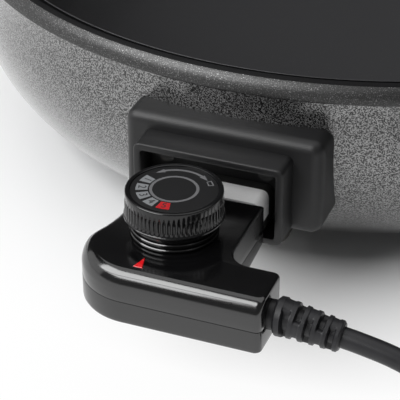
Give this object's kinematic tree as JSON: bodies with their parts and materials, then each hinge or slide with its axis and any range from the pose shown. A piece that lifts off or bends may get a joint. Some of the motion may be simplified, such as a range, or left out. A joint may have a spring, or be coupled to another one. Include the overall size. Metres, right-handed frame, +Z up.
{
  "type": "electric grill pan",
  "caption": "Round electric grill pan with loop handles and a wall socket for a plug-in temperature control with a turning dial and mains lead.",
  "frame": {"origin": "on the table below the middle of the pan, its handles and the plugged-in control, without the lead", "axes": "+X towards the right handle, +Z up; the socket and the control point towards -Y"},
  "size_m": [0.5217, 0.4948, 0.1105],
  "materials": {
    "pan_coating": "dark speckled non-stick coating inside, grey hammered enamel outside",
    "heater_tube": "oxidised steel tube",
    "terminal_metal": "bright nickel plated",
    "insulator": "unglazed ceramic",
    "contact_metal": "plain",
    "socket_plastic": "fine matte heat-proof moulding",
    "handle_plastic": "fine matte heat-proof moulding",
    "screw_steel": "zinc plated",
    "foot_rubber": "matte",
    "control_plastic": "polished black",
    "nose_plastic": "matte",
    "bright_metal": "bright",
    "lens_red": "clear red",
    "lamp_glass": "small neon tube",
    "lead_wire": "insulated wire",
    "dial_plastic": "satin black",
    "dial_print": "dark disc with printed fields",
    "cord_rubber": "satin dark grey"
  },
  "bodies": {
    "pan": {"pan_body": "pan_coating", "heating_element": "heater_tube", "terminal_pins": "terminal_metal", "terminal_insulators": "insulator", "earth_contact": "contact_metal", "probe_guide": "terminal_metal", "socket_housing": "socket_plastic", "socket_screws": "screw_steel", "left_handle": "handle_plastic", "right_handle": "handle_plastic", "handle_screws": "screw_steel", "feet": "handle_plastic", "foot_screws": "screw_steel", "foot_pads": "foot_rubber"},
    "control": {"control_upper_housing": "control_plastic", "control_lower_housing": "control_plastic", "plug_nose": "nose_plastic", "earth_shell": "bright_metal", "socket_contacts": "contact_metal", "sensor_probe": "bright_metal", "thermostat_frame": "terminal_metal", "switch_insulator": "insulator", "fixed_contact": "contact_metal", "spindle_bush": "contact_metal", "pilot_lens": "lens_red", "pilot_lamp": "lamp_glass", "cord_clamp": "screw_steel", "inner_leads": "lead_wire", "control_screws": "screw_steel", "strain_relief": "cord_rubber", "mains_cord": "cord_rubber", "cord_coil": "cord_rubber", "cord_tie": "nose_plastic", "plug_body": "cord_rubber", "plug_pins": "bright_metal", "plug_earth_clips": "bright_metal"},
    "dial": {"temperature_dial": "dial_plastic", "dial_face": "dial_print", "dial_spindle": "screw_steel"},
    "contact_arm": {"contact_arm": "contact_metal"}
  },
  "joints": [
    {"name": "control_pull", "type": "slide", "parent": "pan", "child": "control", "axis": [0, -1, 0], "range_m": [0, 0.06]},
    {"name": "dial_turn", "type": "hinge", "parent": "control", "child": "dial", "pos_m": [0, -0.2106, 0.082], "axis": [0, 0, 1], "range_deg": [0, 235]},
    {"name": "contact_arm_tilt", "type": "hinge", "parent": "control", "child": "contact_arm", "pos_m": [0, -0.1926, 0.0562], "axis": [1, 0, 0], "range_deg": [0, 3]}
  ],
  "couplings": [
    {"joint": "contact_arm_tilt", "follows": "dial_turn", "ratio": 0.012753}
  ]
}
